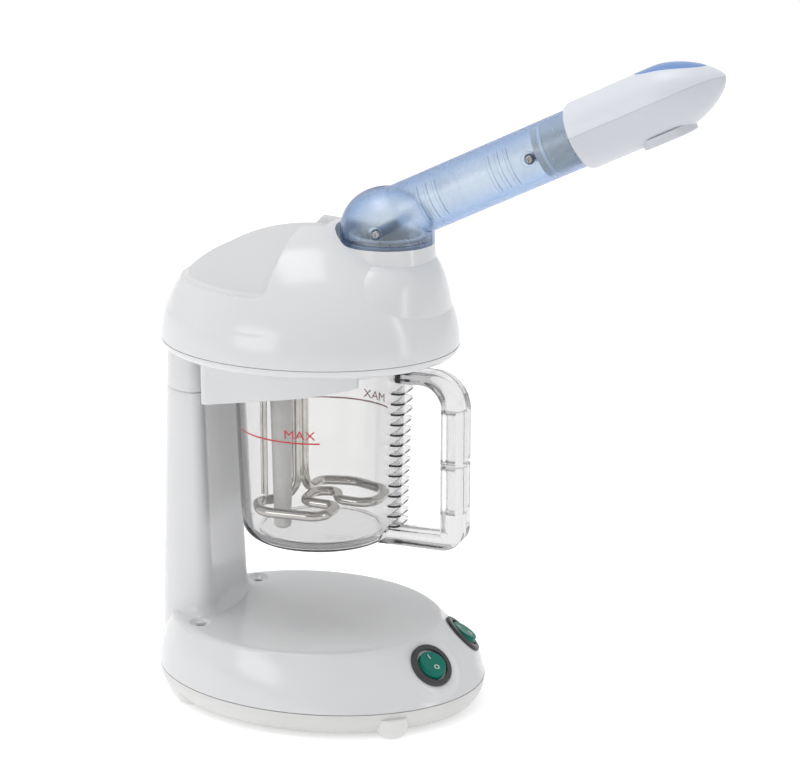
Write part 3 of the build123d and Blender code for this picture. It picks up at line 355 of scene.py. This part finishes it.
# ---------------------------------------------------------------- head
def dome_surface(turns, steps):
    """Rows of points of the dome, each column leaving the neck in its own direction."""
    out_x, out_y = np.sin(turns), -np.cos(turns)
    half_x, half_y, half_z = HEAD_HALF
    a = (out_x / half_x) ** 2 + (out_y / half_y) ** 2
    b = out_y * (NECK_Y - HEAD_Y) / half_y ** 2
    c = ((NECK_Y - HEAD_Y) / half_y) ** 2
    m = np.sqrt(1.0 - c + b * b / a)

    def height(radius):
        inside = m * m - a * (radius + b / a) ** 2
        return HEAD_SEAM + half_z * np.sqrt(np.clip(inside, 0.0, 1.0))

    crease = np.full_like(turns, NECK_R)
    for _ in range(30):
        crease = NECK_R + NECK_TAPER * np.clip(NECK_TOP - height(crease), 0.0, None)
    pocket = smooth(height(np.full_like(turns, POCKET_R)), NECK_TOP - 1.5, NECK_TOP + 2.0)
    edge_r = crease * (1.0 - pocket) + POCKET_R * pocket
    edge_z = height(edge_r)

    def point(radius, level):
        return np.stack([radius * out_x, NECK_Y + radius * out_y, level + 0.0 * radius], axis=1)

    rows = []
    for radius, level in ((SPIGOT_R - 2.0, 270.0), (SPIGOT_R - 2.0, SPIGOT_TOP), (SPIGOT_R, SPIGOT_TOP),
                          (SPIGOT_R, NECK_TOP - 0.4), (NECK_R - 0.6, NECK_TOP - 0.4)):
        rows.append(point(np.full_like(turns, radius), level))
    wall_steps = 16
    for step in range(wall_steps + 1):
        s = step / wall_steps
        straight_r = NECK_R + (edge_r - NECK_R) * s
        straight_z = NECK_TOP + (edge_z - NECK_TOP) * s
        ledge_r = NECK_R + (edge_r - NECK_R) * min(1.0, 2.0 * s)
        ledge_z = NECK_TOP + (edge_z - NECK_TOP) * max(0.0, 2.0 * s - 1.0)
        rows.append(point(straight_r + (ledge_r - straight_r) * pocket,
                          straight_z + (ledge_z - straight_z) * pocket))
    start = np.arcsin(np.clip(np.sqrt(a) * (edge_r + b / a) / m, -1.0, 1.0))
    finish = math.pi / 2.0 - 0.3 / half_z
    for step in range(1, steps + 1):
        t = start + (finish - start) * step / steps
        radius = np.sin(t) * m / np.sqrt(a) - b / a
        rows.append(point(radius, HEAD_SEAM + half_z * m * np.cos(t)))
    return np.array(rows), len(rows) - steps


def scoop_depth(x, y, z):
    """How far the rear panel of the dome is sunk at a point of it, with its soft edges and its fold."""
    tab = 1.0 - smooth(np.abs(x), 12.5, 18.0)
    front = 3.6 + 0.05 * np.abs(x) - 13.0 * tab
    from_front = y - front
    from_low = (z - 264.6) * 1.35
    corner = 10.0
    near_corner = corner - np.hypot(np.clip(corner - from_front, 0.0, None),
                                    np.clip(corner - from_low, 0.0, None))
    in_corner = (from_front < corner) & (from_low < corner)
    inside = np.where(in_corner, near_corner, np.minimum(from_front, from_low))
    sunk = 1.6 * smooth(inside, -0.2, 1.1)
    fold = 0.24 * (np.clip(z - 267.0, 0.0, 9.0) ** 2 / 18.0 + np.clip(z - 276.0, 0.0, 12.0) * 0.9)
    return sunk + np.minimum(fold, 3.4) * smooth(inside, 0.5, 5.0)


def dome():
    """Cover of the head: half an ellipsoid with a neck, a pocket behind it and a scooped rear panel."""
    columns, steps = 640, 190
    turns = np.linspace(0.0, 2.0 * math.pi, columns, endpoint=False)
    rows, first = dome_surface(turns, steps)
    part = rows[first:]
    x, y, z = part[..., 0], part[..., 1], part[..., 2]
    half_x, half_y, half_z = HEAD_HALF
    out = np.stack([x / half_x ** 2, (y - HEAD_Y) / half_y ** 2, (z - HEAD_SEAM) / half_z ** 2], axis=-1)
    out /= np.linalg.norm(out, axis=-1, keepdims=True)
    ridge = 0.35 * smooth(z, 244.2, 246.4) * smooth(y, -8.0, 24.0)
    away_from_edge = smooth(np.arange(len(part)), -1.0, 4.0)[:, None]
    scoop = scoop_depth(x, y, z)
    depth = (scoop + ridge) * away_from_edge
    rim_round = 0.35 * smooth(-z, -(HEAD_SEAM + 1.2), -HEAD_SEAM) ** 2
    rows[first:] = part - out * (depth + rim_round)[..., None]
    rim = rows[-1]
    inner = []
    centre = np.array([0.0, HEAD_Y, HEAD_SEAM])
    for scale in np.linspace(0.965, 0.30, 9):
        lifted = math.sqrt(max(0.0, 0.965 ** 2 - scale ** 2))
        ring = centre + (rim - centre) * scale
        ring[:, 2] = HEAD_SEAM + 0.2 + lifted * 62.0
        ring[:, 1] += (NECK_Y - HEAD_Y) * (0.965 - scale) / 0.665
        inner.append(ring)
    piece = grid_mesh("dome_cover", np.concatenate([rows, np.array(inner)]), degrees=33.0)
    dress(piece, SHELL_WHITE, "base", "shell", "head_dome")
    # Faces of the scooped panel above its fold take the darker, rougher white: painted shade in the scoop.
    piece.data.materials.append(PANEL_PAINTED_SHADE)
    matt_and_shaded = ((scoop > 1.58) & (z > 267.3)).ravel()
    index = np.zeros(len(piece.data.polygons), np.int32)
    index[first * columns:(first + len(part) - 1) * columns] = matt_and_shaded[:-columns]
    piece.data.polygons.foreach_set("material_index", index)


# ---------------------------------------------------------------- base
def d_section(radius, front, corner, hollow, level, grow=0.0):
    """Closed outline, round behind and slightly hollow in front, with rounded corners."""
    radius, front, corner = radius + grow, front - grow, corner + grow
    corner_y = front + corner
    corner_x = math.sqrt((radius - corner) ** 2 - (corner_y - COLUMN_Y) ** 2)
    turn = math.atan2(corner_y - COLUMN_Y, corner_x)
    points = []
    for t in np.linspace(turn, math.pi - turn, 49):
        points.append((radius * math.cos(t), COLUMN_Y + radius * math.sin(t)))
    for t in np.linspace(math.pi - turn, 1.5 * math.pi, 12)[1:]:
        points.append((-corner_x + corner * math.cos(t), corner_y + corner * math.sin(t)))
    for x in np.linspace(-corner_x, corner_x, 25)[1:]:
        points.append((x, front + hollow * (1.0 - (x / corner_x) ** 2)))
    for t in np.linspace(1.5 * math.pi, 2.0 * math.pi + turn, 12)[1:-1]:
        points.append((corner_x + corner * math.cos(t), corner_y + corner * math.sin(t)))
    points = np.array(points)
    return np.column_stack([points, np.full(len(points), level)])


def column_part(level):
    """Radius, front and corner of the column at a height."""
    along = (level - BASE_TOP) / (COLUMN_TOP - BASE_TOP)
    along = min(max(along, 0.0), 1.0)
    return 33.3 - 5.5 * along, 62.5 + 5.0 * along, 9.0 - 3.0 * along


def column():
    """Column of the base, flaring softly into the base's top."""
    flare = 9.0
    levels = list(np.linspace(COLUMN_LOW, BASE_TOP - 2.0, 8))
    levels += [BASE_TOP - 2.0 + flare * (1.0 - math.cos(t)) for t in np.linspace(0.05, math.pi / 2, 12)]
    levels += list(np.linspace(BASE_TOP + flare, COLUMN_TOP - 0.8, 40))[1:]
    levels += [COLUMN_TOP - 0.35, COLUMN_TOP - 0.1]
    rows = []
    for level in levels:
        radius, front, corner = column_part(level)
        inward = 0.3 * smooth(level, COLUMN_TOP - 0.8, COLUMN_TOP)
        ring = d_section(radius, front, corner, 1.6, level, -inward)
        up = min(max((level - BASE_TOP + 2.0) / flare, 0.0), 1.0)
        spread_out = flare * (1.0 - math.sqrt(1.0 - (1.0 - up) ** 2))
        facing = smooth(-ring[:, 1], -(COLUMN_Y + 14.0), -(COLUMN_Y - 4.0))
        away = ring[:, :2] - (0.0, COLUMN_Y + 6.0)
        away /= np.linalg.norm(away, axis=1, keepdims=True)
        ring[:, :2] += away * (spread_out * facing)[:, None]
        rows.append(ring)
    piece = grid_mesh("column", rows, cap_first=True, cap_last=True)
    dress(piece, SHELL_WHITE, "base", "shell")


def base_body():
    """Upper casing of the base: oval, drawn in towards its dished top, eased round the switches."""
    columns = 480
    turns = np.linspace(0.0, 2.0 * math.pi, columns, endpoint=False)
    heights = (BASE_SEAM, 36.0, BASE_TOP)

    def through(values, level):
        return float(np.polyval(np.polyfit(heights, values, 2), level))

    rows = [ellipse(turns, BASE_MIDS[0], half_x, half_y, BASE_SEAM + 0.1)
            for half_x, half_y in ((78.0, 100.0), (82.1, 104.3))]
    for level in np.linspace(BASE_SEAM + 0.4, BASE_EDGE, 42):
        rows.append(ellipse(turns, through(BASE_MIDS, level), through(BASE_HALF_X, level),
                            through(BASE_HALF_Y, level), level))
    edge_x, edge_y = through(BASE_HALF_X, BASE_EDGE), through(BASE_HALF_Y, BASE_EDGE)
    for t in np.linspace(0.15, 0.5 * math.pi, 8):
        inward = 3.4 * (1.0 - math.cos(t))
        rows.append(ellipse(turns, 10.0, edge_x - inward - 0.5 * t, edge_y - inward - 0.5 * t,
                            BASE_EDGE + 2.2 * math.sin(t)))
    last_x, last_y = edge_x - 3.4 - 0.25 * math.pi, edge_y - 3.4 - 0.25 * math.pi
    for share in np.linspace(0.985, 0.02, 46):
        sunk = DISH_DEPTH * smooth(1.0 - share, 0.0, 0.55)
        rows.append(ellipse(turns, 10.0, last_x * share, last_y * share, BASE_TOP - sunk))
    rows = np.array(rows)
    for side in (-1, 1):
        spot = np.array([side * SWITCH_SPOT[0], *SWITCH_SPOT[1:]])
        normal = np.array([side * SWITCH_NORMAL[0], *SWITCH_NORMAL[1:]])
        away = rows - spot
        above = away @ normal
        across = np.linalg.norm(away - above[..., None] * normal, axis=-1)
        near = 1.0 - smooth(across, 14.5, 23.0)
        pushed = np.where(np.abs(above) < 14.0, above + 0.15, 0.0) * near
        rows -= pushed[..., None] * normal
    piece = grid_mesh("base_casing", rows, cap_first=True, cap_last=True)
    for side in (-1, 1):
        well(piece, side * FOOT_SCREW[0], FOOT_SCREW[1])
    shade(piece)
    dress(piece, SHELL_WHITE, "base", "shell", "base_shell")


def well(casing, x, y):
    """Cuts the dimple and the screw hole beside the column's foot."""
    turns = np.linspace(0.0, 2.0 * math.pi, 48, endpoint=False)
    rows = [ellipse(turns, y, r, r, z) + (x, 0.0, 0.0)
            for r, z in ((9.5, 53.0), (6.6, 49.2), (4.6, 47.6), (3.5, 47.0), (3.4, 46.0), (3.4, 40.0))]
    cut_away(casing, grid_mesh("well_tool", rows, cap_first=True, cap_last=True))


# ---------------------------------------------------------------- print and switch marks
def text_mesh(name, words, size, depth):
    """Flat letters as a mesh in the XY plane, in mm, centred."""
    curve = bpy.data.curves.new(name, "FONT")
    curve.body = words
    curve.size = size
    curve.align_x = "CENTER"
    curve.align_y = "CENTER"
    curve.extrude = depth / 2.0
    curve.resolution_u = 6
    holder = bpy.data.objects.new(name, curve)
    bpy.context.scene.collection.objects.link(holder)
    graph = bpy.context.evaluated_depsgraph_get()
    mesh = bpy.data.meshes.new_from_object(holder.evaluated_get(graph))
    points = np.array([v.co for v in mesh.vertices], float)
    faces = [tuple(p.vertices) for p in mesh.polygons]
    bpy.data.objects.remove(holder)
    return points, faces


def on_jar(points, side, lift):
    """Wraps flat points round the jar: x runs round it as read from outside, y is the height, z the lift."""
    radius = 50.95 + (points[:, 1] - 170.0) * 0.0279 + lift + points[:, 2]
    turn = points[:, 0] / 51.2
    return np.stack([-side * radius * np.cos(turn), -side * radius * np.sin(turn), points[:, 1]], axis=1)


def jar_print():
    """Level line with a tapered tail, and MAX above it, on both sides of the jar."""
    level = 175.0
    for name, side, middle, thin_end, thick_end in (("near", 1, 7.6, -47.0, 20.0),
                                                    ("far", -1, -19.1, 34.0, -33.0)):
        letters, faces = text_mesh("letters", "MAX", 7.6, 0.08)
        letters[:, 0] = letters[:, 0] * 1.2 + middle
        letters[:, 1] += level + 4.6
        along = np.linspace(thin_end, thick_end, 70)
        thick = 0.95 * np.minimum(1.0, 0.25 + np.abs(along - thin_end) / 30.0)
        lower = np.stack([along, level - thick / 2.0, 0.0 * along], axis=1)
        upper = lower + np.stack([0.0 * along, thick, 0.0 * along], axis=1)
        line = np.concatenate([lower, upper])
        count, base = len(along), len(letters)
        quads = [(base + i, base + i + 1, base + count + i + 1, base + count + i)
                 for i in range(count - 1)]
        points = on_jar(np.concatenate([letters, line]), side, 0.06)
        piece = new_mesh(f"jar_print_{name}", points, faces + quads)
        dress(piece, PRINT_RED, "jar", "clear")


def rocker(side, name):
    """Round rocker with a raised cap over a wider skirt, and its two marks on the cap."""
    normal = np.array([side * math.sin(SWITCH_TILT) * math.sin(SWITCH_SPLAY),
                       -math.sin(SWITCH_TILT) * math.cos(SWITCH_SPLAY), math.cos(SWITCH_TILT)])
    across = np.array([math.cos(SWITCH_SPLAY), side * math.sin(SWITCH_SPLAY), 0.0])
    up = np.cross(normal, across)
    lean = -math.radians(ROCKER_LEAN)
    face_up = up * math.cos(lean) + normal * math.sin(lean)
    face_out = normal * math.cos(lean) - up * math.sin(lean)
    pivot = np.array(JOINTS[f"{name}_tilt"]["pos_m"]) / MM - (0.0, AXIS_Y, 0.0)

    def place(points):
        points = np.asarray(points, float).reshape(-1, 3)
        return pivot + points[:, :1] * across + points[:, 1:2] * face_up + points[:, 2:] * face_out

    turns = np.linspace(0.0, 2.0 * math.pi, 96, endpoint=False)
    profile = [(0.4, 2.95), (4.0, 3.0), (7.3, 3.2), (7.9, 3.2), (8.2, 3.08), (8.38, 2.82), (8.45, 2.4),
               (8.5, 1.3), (8.62, 1.14), (8.95, 1.05), (9.12, 0.9), (9.2, 0.6), (9.3, -3.2), (8.9, -3.6),
               (0.4, -3.6)]
    rows = [place(ellipse(turns, 0.0, r, r, z)) for r, z in profile]
    faces = grid_faces(len(rows), len(turns))
    faces.append(tuple(range(len(turns)))[::-1])
    faces.append(tuple(range((len(rows) - 1) * len(turns), len(rows) * len(turns))))
    piece = new_mesh(f"{name}_cap", np.concatenate(rows), faces, 40.0)
    dress(piece, ROCKER_GREEN, name, "rocker", name)
    for mark, words, size, offset in (("on", "I", 4.6, 4.3), ("off", "O", 4.6, -3.9)):
        letters, quads = text_mesh("letters", words, size, 0.06)
        letters[:, 1] += offset
        letters[:, 2] += 3.0 + 0.2 * smooth(np.hypot(letters[:, 0], letters[:, 1]), 4.0, 7.3) + 0.04
        printed = new_mesh(f"{name}_{mark}", place(letters), quads)
        dress(printed, MARK_WHITE, name, "rocker")


# ---------------------------------------------------------------- nozzle
def arm_place(along, across, above):
    """Points given along the arm's axis, across it and above it."""
    along, across, above = np.broadcast_arrays(along, across, above)
    return np.stack([across, NECK_Y - along * ARM_COS + above * ARM_SIN,
                     ARM_AXIS_Z + along * ARM_SIN + above * ARM_COS], axis=-1).astype(float)


def nozzle_outline(along):
    """Half width, top, crease and bottom of the nozzle at a distance along the arm."""
    s = np.clip((along - NOZZLE_SHOULDER) / (NOZZLE_TIP - NOZZLE_SHOULDER), 0.0, 1.0)
    left = 1.0 - s ** 1.7
    return (20.4 * left ** 0.60, -0.6 + 20.8 * left ** 0.75, -0.6 + 2.4 * (1.0 - s ** 4),
            -0.6 - 19.6 * left ** 0.62)


def nozzle():
    """Bullet-shaped head with a crease along each side, drawn in below it, and an outlet skirt underneath."""
    half = np.concatenate([[0.0, 0.014], np.linspace(0.05, math.pi - 0.05, 62), [math.pi - 0.014]])
    turns = np.concatenate([half, half + math.pi])
    up, sideways = np.sin(turns), np.cos(turns)
    groove = np.where(np.abs(up) < 0.005, 0.28, 0.0)

    def section(along, scale=1.0):
        wide, top, crease, bottom = nozzle_outline(along)
        drawn_in = 0.34 * smooth(along, 136.0, 158.0) * np.where(up < 0.0, -up * (1.0 + up), 0.0)
        across = (wide - groove * min(1.0, wide / 8.0)) * sideways * (1.0 - drawn_in)
        above = crease + np.where(up >= 0.0, top - crease, crease - bottom) * up
        return arm_place(along, across * scale, above * scale)

    rows = [section(NOZZLE_TAIL + rise, scale) for rise, scale in
            ((3.0, 0.755), (0.0, 0.757), (0.0, 0.88), (0.15, 0.93), (0.6, 0.965), (1.4, 0.985), (2.8, 0.997))]
    rows += [section(along) for along in np.linspace(NOZZLE_TAIL + 4.0, NOZZLE_SHOULDER, 40)]
    rows += [section(NOZZLE_SHOULDER + (NOZZLE_TIP - NOZZLE_SHOULDER) * (1.0 - (1.0 - t) ** 2))
             for t in np.linspace(0.0, 0.985, 60)[1:]]
    piece = grid_mesh("nozzle_cover", rows, cap_first=True, cap_last=True, degrees=NOZZLE_EDGE)
    piece.data.materials.append(NOZZLE_WHITE)
    piece.data.materials.append(NOZZLE_PAINTED_SHADE)
    columns = len(turns)
    # Faces of the cover's lower half take the second, darker material: painted shade on its underside.
    shaded_underside = np.zeros(len(piece.data.polygons), np.int32)
    sides = (len(rows) - 1) * columns
    shaded_underside[:sides] = np.arange(sides) % columns >= len(half)
    piece.data.polygons.foreach_set("material_index", shaded_underside)
    mouth = rounded_rect(28.2, 21.2, 8.0)
    rows = [arm_place(OUTLET_MID + mouth[:, 0], mouth[:, 1], above) for above in (-24.0, -16.0)]
    cut_away(piece, grid_mesh("outlet_tool", rows, cap_first=True, cap_last=True))
    shade(piece, NOZZLE_EDGE)
    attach(piece, "nozzle")
    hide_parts("nozzle_upper_shell", "nozzle_lower_shell")

    outer, rim, inner = (rounded_rect(*size) for size in
                         ((31.6, 24.4, 9.7), (30.8, 23.6, 9.3), (28.7, 21.7, 8.2)))
    skirt = [arm_place(OUTLET_MID + ring[:, 0], ring[:, 1], v) for ring, v in
             ((inner, -16.5), (outer, -16.5), (outer, -21.2), (rim, -21.7), (inner, -21.7), (inner, -16.5))]
    # The skirt takes the darker nozzle material: painted shade.
    dress(grid_mesh("outlet_skirt", skirt), NOZZLE_PAINTED_SHADE, "nozzle", "shell")

    spokes = np.linspace(0.0, 2.0 * math.pi, 96, endpoint=False)
    rows = []
    for share, lift in ((1.0, -0.5), (1.0, 0.05), (0.985, 0.13), (0.96, 0.16)) + tuple(
            (share, 0.16) for share in np.linspace(0.9, 0.05, 14)):
        along = 195.0 + 20.0 * share * np.cos(spokes)
        across = 10.5 * share * np.sin(spokes)
        wide, top, crease, _ = nozzle_outline(along)
        above = crease + (top - crease) * np.sqrt(np.clip(1.0 - (across / wide) ** 2, 0.0, 1.0)) + lift
        rows.append(arm_place(along, across, above))
    dress(grid_mesh("nozzle_window", rows, cap_first=True, cap_last=True), INSET_BLUE, "nozzle", "blue_clear",
          "nozzle_inset")


dome()
base_body()
column()
nozzle()
jar_print()
rocker(-1, "rocker_left")
rocker(1, "rocker_right")


# ---------------------------------------------------------------- stage, lamps and camera
DIM_SIDE = (-0.90, -0.43, 0.0)  # fixed direction in which the surround is dimmer


def stage():
    """Pale floor: a plain sheet far wider than the object."""
    reach = 12.0
    mesh = bpy.data.meshes.new("floor")
    mesh.from_pydata([(-reach, -reach, 0), (reach, -reach, 0), (reach, reach, 0), (-reach, reach, 0)], [],
                     [(0, 1, 2, 3)])
    floor = bpy.data.objects.new("floor", mesh)
    bpy.context.scene.collection.objects.link(floor)
    material, tree, shader = principled("floor_white")
    vary_colour(tree, shader, spread(tree, noise(tree, 3.0), 0.0, 1.0),
                (0.92, 0.92, 0.92), (0.90, 0.90, 0.905))
    shader.inputs["Roughness"].default_value = 0.6
    shader.inputs["Emission Color"].default_value = (1.0, 1.0, 1.0, 1.0)
    shader.inputs["Emission Strength"].default_value = 0.30
    mesh.materials.append(material)


def lamp(name, place, aim, width, height, power):
    """Soft rectangular lamp at a place, aimed at a point, in metres."""
    data = bpy.data.lights.new(name, "AREA")
    data.shape = "RECTANGLE"
    data.size = width
    data.size_y = height
    data.energy = power
    light = bpy.data.objects.new(name, data)
    light.location = place
    light.rotation_euler = (Vector(aim) - Vector(place)).to_track_quat("-Z", "Y").to_euler()
    bpy.context.scene.collection.objects.link(light)


def lighting():
    """Studio surround, brighter overhead and dimmer towards one fixed side, and three soft lamps."""
    world = bpy.data.worlds.new("studio")
    bpy.context.scene.world = world
    world.use_nodes = True
    tree = world.node_tree
    nodes, links = tree.nodes, tree.links
    back = nodes["Background"]
    where = nodes.new("ShaderNodeTexCoord")
    split = nodes.new("ShaderNodeSeparateXYZ")
    links.new(where.outputs["Generated"], split.inputs["Vector"])
    facing = nodes.new("ShaderNodeVectorMath")
    facing.operation = "DOT_PRODUCT"
    facing.inputs[1].default_value = DIM_SIDE
    links.new(where.outputs["Generated"], facing.inputs[0])
    dim = nodes.new("ShaderNodeMath")
    dim.operation = "MULTIPLY"
    links.new(spread(tree, split.outputs["Z"], 0.72, 1.0, 0.0, 0.9), dim.inputs[0])
    links.new(spread(tree, facing.outputs["Value"], 1.0, 0.55, 0.1, 0.9), dim.inputs[1])
    links.new(dim.outputs["Value"], back.inputs["Strength"])
    seen = nodes.new("ShaderNodeBackground")
    seen.inputs["Strength"].default_value = 1.0
    for shader in (back, seen):
        shader.inputs["Color"].default_value = (1.0, 1.0, 1.0, 1.0)
    path = nodes.new("ShaderNodeLightPath")
    either = nodes.new("ShaderNodeMixShader")
    links.new(path.outputs["Is Camera Ray"], either.inputs["Fac"])
    links.new(back.outputs["Background"], either.inputs[1])
    links.new(seen.outputs["Background"], either.inputs[2])
    links.new(either.outputs["Shader"], nodes["World Output"].inputs["Surface"])
    lamp("top_lamp", (-0.15, 0.35, 1.75), (0, 0, 0.2), 1.0, 0.7, 7.5)
    lamp("left_lamp", (-1.35, 0.72, 0.5), (0, 0.05, 0.24), 0.75, 0.5, 3.4)
    lamp("front_strip", (-0.25, -1.6, 0.62), (0, -0.05, 0.24), 0.15, 1.1, 2.2)


def camera():
    """Camera low over the object's left front."""
    data = bpy.data.cameras.new("camera")
    data.sensor_width = 36.0
    data.lens = 115.25
    data.clip_end = 20.0
    view = bpy.data.objects.new("camera", data)
    view.location = (-1.3828, -0.5813 + AXIS_Y * MM, 0.6233)
    view.rotation_euler = Vector((0.8990, 0.3440, -0.2713)).to_track_quat("-Z", "Y").to_euler()
    bpy.context.scene.collection.objects.link(view)
    bpy.context.scene.camera = view


stage()
lighting()
camera()
scene = bpy.context.scene
scene.view_settings.view_transform = "Standard"
scene.cycles.max_bounces = 24
scene.cycles.transmission_bounces = 24
scene.cycles.transparent_max_bounces = 24
